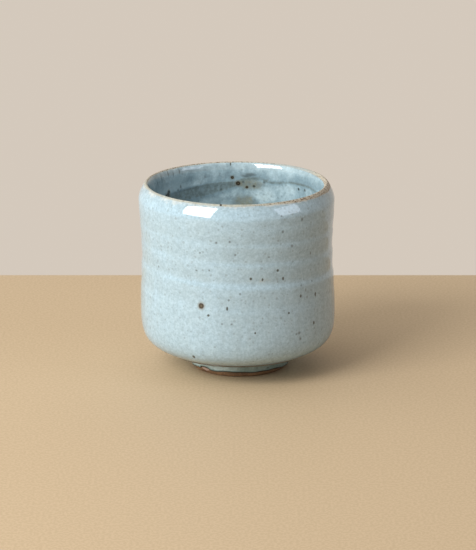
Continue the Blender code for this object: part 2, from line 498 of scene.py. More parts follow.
def clay_ground(where, colour, shade):
    """Fired stoneware, drifting between two browns with dark iron grains in it, and its grit."""
    grit = where.speckle(GRIT)
    iron = where.shaken(*IRON_SHAKE).grains(*IRON_GRAINS)
    body = where.speckle(CLAY_DRIFT).mix(colour, shade).lit(GRIT_DARKEST + GRIT_CONTRAST * grit)
    return (IRON_STRENGTH * iron).mix(body, IRON_BROWN), grit


def spot_centre(line, degrees, height):
    """The place on a wall of the bowl at degrees to the right of the front, at a height."""
    angle = math.radians(degrees)
    radius = radius_at(line, height)
    rise = (height - arris_height) / (rim_height - arris_height)
    return (radius * math.sin(angle) - LEAN * rise, -radius * math.cos(angle), height)


def spot_reach(where, spots, line):
    """Distance from the nearest spot or patch, where 1 is its ragged edge."""
    ragged = where.shaken(*SPOT_SHAKE)
    nearest = None
    for degrees, height, width, length in spots:
        place = {
            "Vector": ragged,
            "Location": spot_centre(line, degrees, height),
            "Rotation": (0, 0, turn_of(degrees)),
            "Scale": (SPOT_DEPTH, width / 2, length / 2),
        }
        away = ragged.node("ShaderNodeMapping", {"vector_type": "TEXTURE"}, place).length()
        nearest = nearest.least(away) if nearest else away
    return nearest


def lip_colour(where):
    """The film of glaze left on the lip, worn through to brown grains of clay on two sides."""
    worn = None
    for side in WORN_SIDES:
        there = where.towards(side).eased(*WORN_STEP)
        worn = worn.most(there) if worn else there
    full = where.towards(FULL_SIDE).eased(*FULL_STEP)
    film = (FILM_PATCH_SHARE * where.speckle(FILM_PATCH)).most(full).mix(LIP_FILM, LIP_BLUE)
    film = film.lit(FILM_DARKEST + FILM_CONTRAST * where.speckle(FILM_GRAIN))
    grains = where.shaken(*WORN_SHAKE).speckle(WORN_GRAIN, WORN_DETAIL).eased(*WORN_GRAIN_STEP)
    film = (WORN_SHARE * worn).mix(film, grains.mix(LIP_BROWN, WORN_LIP))
    dots = where.shaken(*LIP_DOT_SHAKE).grains(*LIP_DOTS)
    film = (LIP_DOT_STRENGTH * dots).mix(film, LIP_BROWN)
    return spot_reach(where, LIP_SPOTS, OUTSIDE).eased(*LIP_SPOT_STEP).mix(film, LIP_SPOT)


def stoneware_finish():
    """Bare clay underneath, and pale filmed clay along the lip."""
    material, shader, where = new_finish("stoneware", CLAY_ROUGHNESS)
    ground, grit = clay_ground(where, BARE_CLAY, WARM_CLAY)
    filmed = where.along("Z").eased(rim_height - 2 * FILM_DEPTH, rim_height - FILM_DEPTH)
    feed(shader, "Base Color", filmed.mix(ground, lip_colour(where)))
    feed(shader, "Roughness", CLAY_ROUGHNESS - FILM_GLOSS * filmed)
    roughen(shader, grit, GRIT_DEPTH)
    return material


def swell(turns):
    """A wave that is 1 at each whole turn and 0 halfway."""
    return 0.5 + 0.5 * math.cos(math.tau * turns)


def turning_mark(point):
    """Depth of the fine spiral that the turning tool left under the bowl, from 0 to 1."""
    return swell(angle_of(point) / math.tau + point.xy.length / TURNING_PITCH)


OUTSIDE = outer_line(*OUTSIDE_POINTS)
INSIDE = inner_line(*INSIDE_POINTS)
coarse_outside = outer_line(*HIDDEN_OUTSIDE_POINTS)
coarse_inside = inner_line(*HIDDEN_INSIDE_POINTS)
outside_edge = rim_height - BARE_LIP_DROP_OUTSIDE
inside_edge = rim_height - BARE_LIP_DROP_INSIDE
set_back = GLAZE_THICKNESS + GLAZE_SEAT

recess = interpolate_bezier(
    at(RECESS_RADIUS, underside_height),
    at(RECESS_RADIUS * ROUND_FULLNESS, underside_height + RECESS_RISE),
    at(RECESS_RADIUS * (1 - ROUND_FULLNESS), underside_height + RECESS_RISE),
    at(0, underside_height + RECESS_RISE),
    RECESS_POINTS,
)
down_outside = (
    above(OUTSIDE, outside_edge)
    + inset(below(coarse_outside, outside_edge), set_back)
    + [at(foot_radius, underside_height)]
    + recess
)
down_inside = above(INSIDE, inside_edge)[1:] + inset(below(coarse_inside, inside_edge), -set_back)
clay_shell = turned(down_outside + down_inside[::-1])
for vertex in clay_shell.verts:
    if vertex.co.z < FLOOR_HEIGHT - GLAZE_THICKNESS and vertex.co.xy.length < RECESS_RADIUS:
        vertex.co.z += TURNING_DEPTH * turning_mark(vertex.co)
    elif vertex.co.xy.length > RIM_RADIUS:
        stray(vertex.co, OUTSIDE, outside_edge, WANDER_OUTSIDE)
    else:
        stray(vertex.co, INSIDE, inside_edge, WANDER_INSIDE)
settle_by_hand(clay_shell)
thrown_clay = fired("thrown_clay", clay_shell, stoneware_finish())
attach(thrown_clay, "root")
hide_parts("clay_body")

# Foot ring
# A low ring of the same stoneware, cut from the base with a turning tool when leather hard.
# Its outer edge was sponged well round, it sits slightly off centre, and its top meets the underside.
FOOT_WIDTH = 0.0052
FOOT_TAPER = 0.0002
FOOT_SHIFT = 0.0007
FOOT_ROUND = 0.0006
FOOT_EDGE_IN = 0.0013
FOOT_EDGE_UP = 0.0015
FOOT_FILLET = 0.0008
FOOT_EDGE_POINTS = 8
FOOT_ROUND_POINTS = 5
FOOT_CLAY = (0.270, 0.150, 0.070, 1)
FOOT_SHADE = (0.135, 0.071, 0.032, 1)
SCRAPE_SIZE = 0.0005
SCRAPE_DARKEST = 0.85
SCRAPE_CONTRAST = 0.3
SCRAPE_SHARE = 0.5
SCRAPE_DEPTH = 0.00014
# A chip in the glaze line, in degrees to the right of the front, where fresh pale clay shows
CHIP_DEGREES = -45.5
CHIP_WIDTH = 0.0060
CHIP_RISE = 0.0007
CHIP_CLAY = (0.46, 0.33, 0.27, 1)
# Where it shows, as degrees to the right of the front, height, width and length
CHIP_PATCHES = [(-42.5, 0.0019, 0.0034, 0.0012), (-47.5, 0.0021, 0.0022, 0.0010)]
CHIP_SHARE = 0.8
CHIP_STEP = (1.3, 0.7)

base_radius = foot_radius - FOOT_TAPER
outer_round = rounded(
    at(base_radius, FOOT_EDGE_UP), at(base_radius, 0), at(base_radius - FOOT_EDGE_IN, 0), FOOT_EDGE_POINTS
)
inner_foot = base_radius - FOOT_WIDTH
inner_round = rounded(
    at(inner_foot + FOOT_ROUND, 0), at(inner_foot, 0), at(inner_foot, FOOT_ROUND), FOOT_ROUND_POINTS
)
recess_corner = at(inner_foot - FOOT_TAPER, underside_height)
recess_fillet = rounded(
    recess_corner - UP * FOOT_FILLET, recess_corner, recess_corner - OUT * FOOT_FILLET, FOOT_ROUND_POINTS
)
foot_profile = [at(foot_radius, underside_height)] + outer_round + inner_round + recess_fillet


def set_off_centre(shell):
    """Moves the foot to the right, where it was cut, and leaves what lies at the arris in its place."""
    for vertex in shell.verts:
        from_arris = (ARRIS_RADIUS - vertex.co.xy.length) / (ARRIS_RADIUS - foot_radius)
        vertex.co.x += FOOT_SHIFT * eased(from_arris)


def foot_clay_finish():
    """Bare clay with the fine rings that the turning tool scraped round it."""
    material, shader, where = new_finish("foot_clay", CLAY_ROUGHNESS)
    ground, grit = clay_ground(where, FOOT_CLAY, FOOT_SHADE)
    from_axis = where.stretched((1, 1, 0)).length()
    section = where.node("ShaderNodeCombineXYZ", {}, {"X": from_axis, "Z": where.along("Z")})
    scrapes = section.speckle(SCRAPE_SIZE)
    fresh = spot_reach(where, CHIP_PATCHES, [at(foot_radius, underside_height), at(foot_radius, 0)])
    ground = (CHIP_SHARE * fresh.eased(*CHIP_STEP)).mix(ground, CHIP_CLAY)
    feed(shader, "Base Color", ground.lit(SCRAPE_DARKEST + SCRAPE_CONTRAST * scrapes))
    roughen(shader, (1 - SCRAPE_SHARE) * grit + SCRAPE_SHARE * scrapes, SCRAPE_DEPTH)
    return material


foot_ring_shell = turned(foot_profile)
set_off_centre(foot_ring_shell)
turned_foot = fired("turned_foot", foot_ring_shell, foot_clay_finish())
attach(turned_foot, "root")
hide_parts("foot_ring")

# Outer glaze coat
# Pale blue-grey glaze, half a millimetre thick, poured over the wall and fired to a gloss.
# It lies thin and grey above each throwing groove, milky below it, and breaks to brown at the arris.
RING_START = 0.0380
RING_PITCH = 0.0125
RING_CROWDING = 9.2
SPIRAL_SHIFT = 0.25
RING_DEPTH = 0.00038
RING_CROWN = 0.72
RINGS_BELOW = 0.080
RINGS_ABOVE = 0.031
FADE_AT_TOP = 0.014
FADE_AT_BOTTOM = 0.014
FIRM_TURN = math.radians(-60)
FIRM_SHARE = 0.40
LIGHT_TOUCH = 0.52
LIGHT_ABOVE = 0.060
LIGHT_REACH = 0.010
PRESS_SIZE = 0.022
PRESS_CHANGE = 0.35
RING_BREAK = 0.38
RING_POOL = 0.58
RING_EDGE = 0.14
POOL_SHARE = 0.30
SHOULDER_POOL = 0.45
SHOULDER_POOL_DROP = 0.0052
SHOULDER_POOL_REACH = 0.0055
LIP_BREAK = 0.0016
LIP_BREAK_LEFT = 0.0030
LEFT_TURN = math.radians(-140)
LIP_THINNEST = 0.75
LIP_CREAM = (0.50, 0.515, 0.485, 1)
CREAM_BELOW = 0.0030
CREAM_REACH = 0.003
ARRIS_BREAK = 0.0018
BEAD_DROP = 0.00045
BEAD_SWELL = 0.00015
BEAD_WIDTH = 0.0004
BEAD_POINTS = 8
HEEL_POOL = 0.55
HEEL_POOL_REACH = 0.014

MILKY_BLUE = (0.353, 0.492, 0.579, 1)
GREY_BLUE = (0.322, 0.438, 0.502, 1)
OLIVE_BREAK = (0.27, 0.245, 0.185, 1)
EDGE_BROWN = (0.104, 0.098, 0.073, 1)
# Dark green of deeply pooled glaze, which inside on the left also colours a band of painted shadow
DEEP_GREEN_AND_SHADOW = (0.12, 0.145, 0.125, 1)
FRECKLE_GREY = (0.16, 0.185, 0.18, 1)
IRON_SPOT = (0.030, 0.020, 0.011, 1)
GREEN_SPOT = (0.048, 0.055, 0.048, 1)
SPOT_OLIVE = (0.17, 0.145, 0.085, 1)
PATCH_OLIVE = (0.200, 0.206, 0.152, 1)
GLAZE_ROUGHNESS = 0.02
GLAZE_IOR = 1.72
RELIEF_DEPTH = 0.000006
RELIEF_CLOUD = 0.4
RELIEF_MOTTLE = 0.6
RELIEF_SPOT = 0.4
# Noises that make the glaze uneven: their sizes, then their shares in its thinness
DRIFT_SIZE = 0.020
CLOUD_SIZE = 0.0055
CLOUD_DETAIL = 3
STREAK_SIZE = 0.0030
STREAK_STRETCH = (1, 1, 0.2)
MOTTLE_SIZE = 0.0017
GRAIN_SIZE = 0.0008
DRIFT_SHARE = 0.5
CLOUD_SHARE = 0.5
STREAK_SHARE = 0.3
# The thinness at which each colour starts and is full
GREY_STEP = (-0.6, 0.6)
BREAK_STEP = (0.38, 0.95)
BREAK_STRENGTH = 0.85
BREAK_CLOUD = 0.3
BREAK_MOTTLE = 0.3
EDGE_STEP = (0.85, 1)
DEEP_STEP = (-0.6, -1.1)
DEEP_MOTTLE = 0.1
SHADE_DARKEST = 0.80
SHADE_CLOUD = 0.08
SHADE_MOTTLE = 0.16
SHADE_GRAIN = 0.16
FRECKLES = (0.0017, 0.0015, 0.65)
FRECKLE_SHAKE = (0.001, 0.0006)
FRECKLE_STRENGTH = 0.32
SPECKS = (0.0060, 0.0015, 0.6)
SPECK_SHAKE = (0.001, 0.0003)
SPECK_STRETCH = (1, 1, 0.7)
SPECK_STRENGTH = 0.5
# Layers of spots and patches: where each starts and is full, as shares of the spot, then its strength
MARK_STEP = (1.5, 0.3)
MARK_STRENGTH = 0.62
SMALL_STEP = (1.6, 0.7)
SMALL_STRENGTH = 0.92
BOLD_SPOT = 0.00125
HALO_STEP = (1.8, 1)
HALO_STRENGTH = 0.45
CORE_STEP = (1.1, 0.75)
CORE_STRENGTH = 0.96
HEART_STEP = (0.40, 0.15)
HEART_STRENGTH = 0.5
PATCH_SHAKE = (0.0026, 0.0032)
FRINGE_STEP = (1.7, 1.2)
FRINGE_STRENGTH = 0.30
PATCH_STEP = (1.3, 0.7)
PATCH_FAINTEST = 0.3
PATCH_MOTTLE = 0.6

# Iron spots on the wall: degrees to the right of the front, height, width and length
OUTER_SPOTS = [
    (-21.5, 0.0388, 0.0027, 0.0028),
    (-28.0, 0.0144, 0.00122, 0.0014),
    (-17.0, 0.0348, 0.0010, 0.0010),
    (-6.0, 0.0383, 0.0008, 0.0015),
    (8.0, 0.0516, 0.0010, 0.0011),
    (15.0, 0.0509, 0.0008, 0.0012),
    (28.0, 0.0505, 0.0009, 0.0014),
    (24.5, 0.0545, 0.0010, 0.0010),
    (40.0, 0.0413, 0.0009, 0.0013),
    (52.5, 0.0402, 0.0009, 0.0016),
    (31.0, 0.0347, 0.0008, 0.0009),
    (10.0, 0.0272, 0.0007, 0.0009),
    (50.0, 0.0275, 0.0010, 0.0014),
    (112.0, 0.0610, 0.0012, 0.0014),
    (128.0, 0.0330, 0.0018, 0.0020),
    (151.0, 0.0480, 0.0009, 0.0010),
    (174.0, 0.0700, 0.0010, 0.0012),
    (193.0, 0.0290, 0.0013, 0.0013),
    (214.0, 0.0560, 0.0021, 0.0022),
    (239.0, 0.0415, 0.0010, 0.0014),
    (262.0, 0.0660, 0.0009, 0.0009),
]
# Faint grey-green marks on the wall, given in the same way
OUTER_MARKS = [
    (41.0, 0.0761, 0.0014, 0.0018),
    (27.5, 0.0719, 0.0013, 0.0014),
    (34.0, 0.0648, 0.0015, 0.0014),
    (-1.0, 0.0625, 0.0011, 0.0011),
    (-4.0, 0.0685, 0.0010, 0.0011),
    (-12.0, 0.0679, 0.0010, 0.0013),
    (38.0, 0.0247, 0.0016, 0.0012),
    (36.0, 0.0244, 0.0012, 0.0009),
    (39.0, 0.0218, 0.0012, 0.0014),
    (49.0, 0.0594, 0.0008, 0.0014),
    (19.0, 0.0610, 0.0010, 0.0008),
    (-22.0, 0.0627, 0.0009, 0.0009),
    (-16.5, 0.0551, 0.0009, 0.0010),
    (-24.5, 0.0545, 0.0010, 0.0010),
    (-54.0, 0.0525, 0.0009, 0.0012),
    (1.5, 0.0450, 0.0010, 0.0009),
    (-5.0, 0.0421, 0.0011, 0.0010),
    (-9.0, 0.0314, 0.0009, 0.0009),
    (-3.5, 0.0314, 0.0010, 0.0009),
    (50.0, 0.0466, 0.0009, 0.0010),
    (40.5, 0.0459, 0.0009, 0.0010),
    (27.0, 0.0790, 0.0009, 0.0008),
    (104.0, 0.0430, 0.0010, 0.0012),
    (139.0, 0.0640, 0.0009, 0.0011),
    (163.0, 0.0360, 0.0011, 0.0010),
    (182.0, 0.0540, 0.0009, 0.0012),
    (205.0, 0.0400, 0.0010, 0.0010),
    (228.0, 0.0700, 0.0009, 0.0011),
    (251.0, 0.0330, 0.0011, 0.0013),
    (275.0, 0.0500, 0.0009, 0.0010),
]


def ring_share(point):
    """Where a point lies on its throwing ring: 0 at a groove, then up to 1 at the next groove."""
    rise = point.z - RING_START
    turns = angle_of(point) / math.tau + SPIRAL_SHIFT + rise / RING_PITCH * (1 + RING_CROWDING * rise)
    return turns % 1


def ring_strength(point):
    """The rings fade at both ends, are lighter near the lip, and are firmest right of the front."""
    from_top = (RINGS_BELOW - point.z) / FADE_AT_TOP
    from_bottom = (point.z - RINGS_ABOVE) / FADE_AT_BOTTOM
    firm = 1 - FIRM_SHARE + FIRM_SHARE * math.cos(angle_of(point) - FIRM_TURN)
    press = 1 + PRESS_CHANGE * noise.noise(point / PRESS_SIZE)
    press *= between(LIGHT_TOUCH, 1, eased((LIGHT_ABOVE - point.z) / LIGHT_REACH))
    return eased(from_top) * eased(from_bottom) * firm * press


def groove(share):
    """Depth of the finger's groove, from 0 to 1: a long slope above it and a short one below."""
    if share < RING_CROWN:
        return 0.5 + 0.5 * math.cos(math.pi * share / RING_CROWN)
    return 0.5 - 0.5 * math.cos(math.pi * (share - RING_CROWN) / (1 - RING_CROWN))


def run_thin(share):
    """How thin the glaze lies on a ring: thinnest just above a groove, and pooled just below the next."""
    thin = RING_BREAK * eased(share / RING_EDGE) * (1 - eased(share / RING_CROWN))
    pooled = RING_POOL * eased((share - 1) / POOL_SHARE + 1) * (1 - eased((share - 1) / RING_EDGE + 1))
    return thin - pooled


def glaze_finish(name, milky, grey, thinned, edge, spots, marks, line, patches=()):
    """Glossy glaze whose colour follows how thin it lies, and the painted shade and light laid with that,
    with freckles and iron spots in it.
    """
    material, shader, where = new_finish(name, GLAZE_ROUGHNESS)
    shader.inputs["IOR"].default_value = GLAZE_IOR
    laid = where.node("ShaderNodeAttribute", {"attribute_name": "thinness_and_painted_light"}, {}, "Fac")
    drift = where.speckle(DRIFT_SIZE)
    cloud = where.speckle(CLOUD_SIZE, CLOUD_DETAIL)
    streak = where.stretched(STREAK_STRETCH).speckle(STREAK_SIZE)
    mottle = where.speckle(MOTTLE_SIZE)
    grain = where.speckle(GRAIN_SIZE)
    uneven = DRIFT_SHARE * drift.centred() + CLOUD_SHARE * cloud.centred() + STREAK_SHARE * streak.centred()
    colour = (laid + uneven).eased(*GREY_STEP).mix(milky, grey)
    broken = laid + BREAK_CLOUD * cloud.centred() + BREAK_MOTTLE * mottle.centred()
    cream = where.along("Z").eased(rim_height - CREAM_BELOW - CREAM_REACH, rim_height - CREAM_BELOW)
    colour = (BREAK_STRENGTH * broken.eased(*BREAK_STEP)).mix(colour, cream.mix(thinned, LIP_CREAM))
    colour = laid.eased(*EDGE_STEP).mix(colour, edge)
    colour = (laid + DEEP_MOTTLE * mottle.centred()).eased(*DEEP_STEP).mix(colour, DEEP_GREEN_AND_SHADOW)
    if patches:
        reach = spot_reach(where.shaken(*PATCH_SHAKE), patches, line)
        colour = (FRINGE_STRENGTH * reach.eased(*FRINGE_STEP)).mix(colour, DEEP_GREEN_AND_SHADOW)
        strength = PATCH_FAINTEST + PATCH_MOTTLE * mottle
        colour = (strength * reach.eased(*PATCH_STEP)).mix(colour, PATCH_OLIVE)
    colour = colour.lit(SHADE_DARKEST + SHADE_CLOUD * cloud + SHADE_MOTTLE * mottle + SHADE_GRAIN * grain)
    freckle = where.shaken(*FRECKLE_SHAKE).grains(*FRECKLES)
    colour = (FRECKLE_STRENGTH * freckle).mix(colour, FRECKLE_GREY)
    speck = where.stretched(SPECK_STRETCH).shaken(*SPECK_SHAKE).grains(*SPECKS)
    colour = (SPECK_STRENGTH * speck).mix(colour, FRECKLE_GREY)
    faint = spot_reach(where, marks, line)
    small = spot_reach(where, [spot for spot in spots if spot[2] < BOLD_SPOT], line)
    bold = spot_reach(where, [spot for spot in spots if spot[2] >= BOLD_SPOT], line)
    core = bold.eased(*CORE_STEP)
    colour = (MARK_STRENGTH * faint.eased(*MARK_STEP)).mix(colour, GREEN_SPOT)
    colour = (SMALL_STRENGTH * small.eased(*SMALL_STEP)).mix(colour, GREEN_SPOT)
    colour = (HALO_STRENGTH * bold.eased(*HALO_STEP)).mix(colour, SPOT_OLIVE)
    colour = (CORE_STRENGTH * core).mix(colour, IRON_SPOT)
    colour = (HEART_STRENGTH * bold.eased(*HEART_STEP)).mix(colour, SPOT_OLIVE)
    feed(shader, "Base Color", colour)
    relief = RELIEF_MOTTLE * mottle + RELIEF_CLOUD * cloud - RELIEF_SPOT * core
    roughen(shader, relief, RELIEF_DEPTH)
    return material


def lay_thinness(shell, thinness_and_painted_light):
    """Writes how thin the glaze lies at each point, from -1, pooled, to 1, bare, for the finish to read; on
    the inner and foot coats it also carries painted shade and painted light.
    """
    layer = shell.verts.layers.float.new("thinness_and_painted_light")
    for vertex in shell.verts:
        vertex[layer] = max(-1, min(1, thinness_and_painted_light(vertex.co)))


def outer_thinness(point):
    """The outer coat is thin at lip and grooves, milky on shoulder and heel, and bare at the arris."""
    angle = angle_of(point)
    lip_break = LIP_BREAK + LIP_BREAK_LEFT * max(0, math.cos(angle - LEFT_TURN)) ** 2
    edge = outside_edge - lip_wander(angle, WANDER_OUTSIDE)
    at_lip = LIP_THINNEST - (edge - point.z) / lip_break
    past_arris = point.xy.length - ARRIS_RADIUS
    at_arris = 1 - past_arris / ARRIS_BREAK
    at_ring = ring_strength(point) * run_thin(ring_share(point))
    from_shoulder = abs(rim_height - SHOULDER_POOL_DROP - point.z) / SHOULDER_POOL_REACH
    pooled = SHOULDER_POOL * eased(1 - from_shoulder)
    if point.z < BELLY_HEIGHT:
        pooled = HEEL_POOL * eased(1 - past_arris / HEEL_POOL_REACH)
    return max(at_lip, at_arris, at_ring - pooled)


arris = at(ARRIS_RADIUS, arris_height)
bead_low = arris - UP * BEAD_DROP
bead_side = arris + OUT * BEAD_SWELL - UP * BEAD_DROP / 2
bead_end = bead_low - OUT * BEAD_WIDTH
arris_bead = interpolate_bezier(arris, bead_side, bead_low + OUT * BEAD_SWELL, bead_end, BEAD_POINTS)
outer_face = joined(below(OUTSIDE, outside_edge - GLAZE_SEAT), arris_bead)
outer_back = inset(below(coarse_outside, outside_edge - GLAZE_SEAT), GLAZE_THICKNESS)
outer_shell = turned(outer_face + outer_back[::-1])
for vertex in outer_shell.verts:
    if vertex.normal.dot(outward(vertex.co)) > 0:
        depth = RING_DEPTH * ring_strength(vertex.co) * groove(ring_share(vertex.co))
        vertex.co -= outward(vertex.co) * depth
    stray(vertex.co, OUTSIDE, outside_edge - GLAZE_SEAT, WANDER_OUTSIDE)
lay_thinness(outer_shell, outer_thinness)
settle_by_hand(outer_shell)
outer_finish = glaze_finish(
    "outer_glaze", MILKY_BLUE, GREY_BLUE, OLIVE_BREAK, EDGE_BROWN,
    OUTER_SPOTS, OUTER_MARKS, OUTSIDE,
)
outer_coat = fired("outer_coat", outer_shell, outer_finish)
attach(outer_coat, "root")
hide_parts("outer_glaze")

# Inner glaze coat
# The same glaze, poured in and out again to line the bowl from the lip to the floor.
# It pools above the ridge that a finger left below the lip, lies darkest along it, and is paler below; on
# the left a painted shadow widens that line into a dark band, and the far left is lightened with painted
# light.
RIDGE_LINE = 0.0017
RIDGE_LOWERED = 0.0005
RIDGE_TILT = 0.0009
RIDGE_TILT_REACH = 0.005
# Where the ridge climbs: degrees from the right, width in degrees, and how far
RIDGE_LIFTS = [(79, 9, 0.0016), (40, 15, 0.0011)]
RIDGE_LIFT_REACH = 1.5
# Where the inner coat's left side lies, on which the ridge's line sinks and widens into a band of painted
# shadow and the far left is painted lighter as painted light
LEFT_ENDS = 300
LEFT_FADE = 80
RIDGE_FADES_PAST = 76
RIDGE_SOFT_REACH = 34
RIDGE_POOL_RIGHT = 0.6
RIDGE_POOL_LEFT = 0.12
RIDGE_POOL_DEPTH = 0.0062
TOP_THINNESS = 0.20
TOP_LEFT_PAINTED_SHADE = -0.35
RIDGE_DEEPEST = 0.86
# The band of painted shadow on the left: its darkest, how far it sinks, its widths above and below, and its
# flatness; then the far left's painted light
PAINTED_SHADOW_DEEPEST = 0.84
PAINTED_SHADOW_SINK = 0.0014
FAR_SHADOW_SINK = 0.0030
PAINTED_SHADOW_WIDTH = 0.0030
PAINTED_SHADOW_BELOW = 0.0078
PAINTED_SHADOW_FLATNESS = 0.9
FAR_LEFT = 100
FAR_LEFT_REACH = 60
FAR_LEFT_PAINTED_LIGHT = 0.82
FAR_LEFT_PAINTED_LIGHT_TOP = 0.75
BELOW_RIDGE_RIGHT = -0.10
BELOW_RIDGE_LEFT = 0.25
INNER_LIP_BREAK = 0.0008
LIP_RUN = 0.0040
LIP_RUN_TURN = math.radians(145)
LIP_RUN_CROWDING = 14
FLOOR_PITCH = 0.0058
FLOOR_SPIRAL_DEPTH = 0.00022
FLOOR_SPIRAL_START = 0.004
FLOOR_SPIRAL_FADE = 0.010
PALE_GRAIN = 0.0024
PALE_RAGGED = 0.5
PALE_REACH = 1.3
LINER_DEEP = (0.222, 0.320, 0.365, 1)
LINER_PALE = (0.386, 0.508, 0.555, 1)
LINER_THIN = (0.430, 0.545, 0.575, 1)

# Iron spots inside: degrees to the right of the front, height, width and length
INNER_SPOTS = [
    (183.0, 0.0778, 0.0017, 0.0016),
    (179.0, 0.0750, 0.0023, 0.0023),
    (173.0, 0.0732, 0.0014, 0.0013),
    (168.0, 0.0738, 0.0012, 0.0010),
    (132.5, 0.0752, 0.0010, 0.0012),
    (126.0, 0.0755, 0.0008, 0.0012),
    (235.0, 0.0733, 0.0034, 0.0022),
    (234.0, 0.0744, 0.0020, 0.0024),
    (184.0, 0.0842, 0.0006, 0.0016),
    (96.0, 0.0560, 0.0012, 0.0012),
    (28.0, 0.0480, 0.0016, 0.0018),
    (318.0, 0.0620, 0.0011, 0.0012),
    (275.0, 0.0390, 0.0014, 0.0014),
    (205.0, 0.0300, 0.0010, 0.0011),
]
# Faint streaks and marks inside, given in the same way
INNER_MARKS = [
    (233.5, 0.0834, 0.0008, 0.0034),
    (242.0, 0.0824, 0.0008, 0.0026),
    (248.5, 0.0812, 0.0008, 0.0030),
    (222.5, 0.0830, 0.0008, 0.0026),
    (228.5, 0.0822, 0.0007, 0.0024),
    (238.0, 0.0800, 0.0007, 0.0020),
    (222.0, 0.0758, 0.0011, 0.0016),
    (224.5, 0.0744, 0.0010, 0.0012),
    (175.5, 0.0757, 0.0012, 0.0011),
    (160.5, 0.0760, 0.0014, 0.0012),
    (191.0, 0.0722, 0.0012, 0.0012),
    (170.5, 0.0793, 0.0060, 0.0018),
    (173.5, 0.0785, 0.0034, 0.0012),
    (60.0, 0.0650, 0.0010, 0.0012),
    (310.0, 0.0500, 0.0011, 0.0012),
]
# Olive patches where the lining lies thinnest, given in the same way
OLIVE_PATCHES = [(170.0, 0.0747, 0.0098, 0.0042), (174.5, 0.0660, 0.0088, 0.0058)]
# Pale patches on the back wall, partly thin glaze and partly painted light where the lamp's light falls,
# given in the same way, each with its thinness
PALE_LIT_PATCHES = [(159.0, 0.0694, 0.0120, 0.0080, 0.70), (140.0, 0.0736, 0.0050, 0.0030, 0.50)]


def lip_run(angle):
    """How far thin glaze runs down from the lip inside, as short streaks on the back left."""
    streaks = noise.noise(Vector((math.cos(angle), math.sin(angle), 0)) * LIP_RUN_CROWDING)
    back_left = max(0, math.cos(angle - LIP_RUN_TURN)) ** 2
    return LIP_RUN * back_left * max(0, streaks)


def inner_thinness_and_painted_light(point):
    """The lining is thin at the lip, pools above the finger ridge, deepest along it, and is paler below; on
    the left the line widens into a band of painted shadow, the far left gets painted light, and the pale
    patches are partly painted light.
    """
    angle = angle_of(point)
    edge = inside_edge - lip_wander(angle, WANDER_INSIDE)
    thinnest = LIP_THINNEST * eased(math.cos(angle - LIP_RUN_TURN))
    at_lip = thinnest - (edge - point.z) / (INNER_LIP_BREAK + lip_run(angle))
    turn = math.degrees(angle) % 360
    # left and far_left say where the band of painted shadow and the far left's painted light lie
    on_left = eased((LEFT_ENDS - turn) / LEFT_FADE)
    left = on_left * eased((turn - RIDGE_FADES_PAST) / RIDGE_SOFT_REACH)
    far_left = on_left * eased((turn - FAR_LEFT) / FAR_LEFT_REACH)
    over_ridge = point.z - (rim_height - RIDGE_DROP) + PAINTED_SHADOW_SINK * left + FAR_SHADOW_SINK * far_left
    for middle, width, lift in RIDGE_LIFTS:
        over_ridge -= lift * eased(RIDGE_LIFT_REACH - abs(turn - middle) / width)
    shadow_width = PAINTED_SHADOW_WIDTH if over_ridge > 0 else PAINTED_SHADOW_BELOW
    line_width = between(RIDGE_LINE, shadow_width, left)
    pool = between(RIDGE_POOL_RIGHT, RIDGE_POOL_LEFT, left) - FAR_LEFT_PAINTED_LIGHT * far_left
    deepest = between(RIDGE_DEEPEST, PAINTED_SHADOW_DEEPEST, left)
    if over_ridge > 0:
        top = between(TOP_THINNESS, TOP_LEFT_PAINTED_SHADE, left) + FAR_LEFT_PAINTED_LIGHT_TOP * far_left
        on_wall = between(top, -pool, eased(1 - over_ridge / RIDGE_POOL_DEPTH))
    else:
        on_wall = between(BELOW_RIDGE_RIGHT, BELOW_RIDGE_LEFT, left)
    nearness = eased((1 + PAINTED_SHADOW_FLATNESS * left) * (1 - abs(over_ridge) / line_width))
    on_wall = between(on_wall, -deepest, nearness)
    # The pale patches, partly thin glaze and partly painted light
    for degrees, height, width, length, amount in PALE_LIT_PATCHES:
        across = point.xy.length * math.sin(angle - turn_of(degrees)) / (width / 2)
        along = (point.z - height) / (length / 2)
        if math.cos(angle - turn_of(degrees)) > 0:
            ragged = PALE_RAGGED * noise.noise(point / PALE_GRAIN)
            on_wall = between(on_wall, amount, eased(PALE_REACH + ragged - math.hypot(across, along)))
    return max(at_lip, on_wall)


def floor_spiral(point):
    """Depth of the throwing spiral on the floor, from 0 to 1, fading at its centre and at the corner."""
    radius = point.xy.length
    turns = angle_of(point) / math.tau - radius / FLOOR_PITCH
    from_centre = (radius - FLOOR_SPIRAL_START) / FLOOR_SPIRAL_FADE
    from_corner = (FLOOR_CORNER_RADIUS - radius) / FLOOR_SPIRAL_FADE
    return eased(from_centre) * eased(from_corner) * swell(turns)


